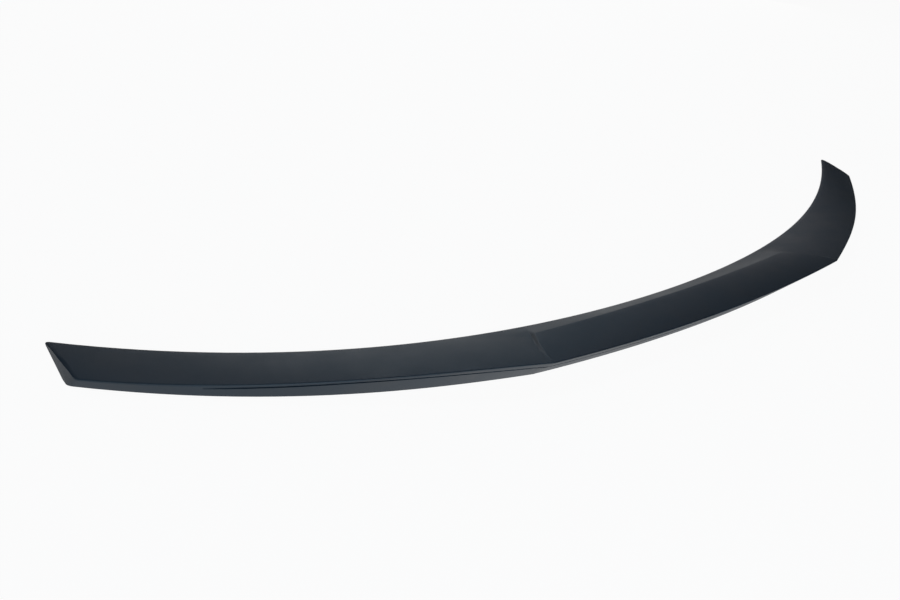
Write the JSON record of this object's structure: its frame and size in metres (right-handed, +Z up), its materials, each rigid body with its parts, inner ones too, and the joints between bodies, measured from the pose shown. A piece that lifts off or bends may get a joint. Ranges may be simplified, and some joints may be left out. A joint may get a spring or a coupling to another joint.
{
  "type": "car rear spoiler",
  "caption": "Low moulded lip spoiler for a car's boot lid: a bowed, tapering blade with a raised centre panel, an undercut rear face and a ribbed hollow underside.",
  "frame": {"origin": "below the middle of the blade, in the plane that the rear face's lower edge stands on", "axes": "+X across the car, +Y towards its nose, +Z up"},
  "size_m": [1.1992, 0.2506, 0.0283],
  "materials": {
    "spoiler_blade": "satin blue-black moulded plastic"
  },
  "bodies": {
    "root": {"spoiler_blade": "spoiler_blade"}
  },
  "joints": []
}
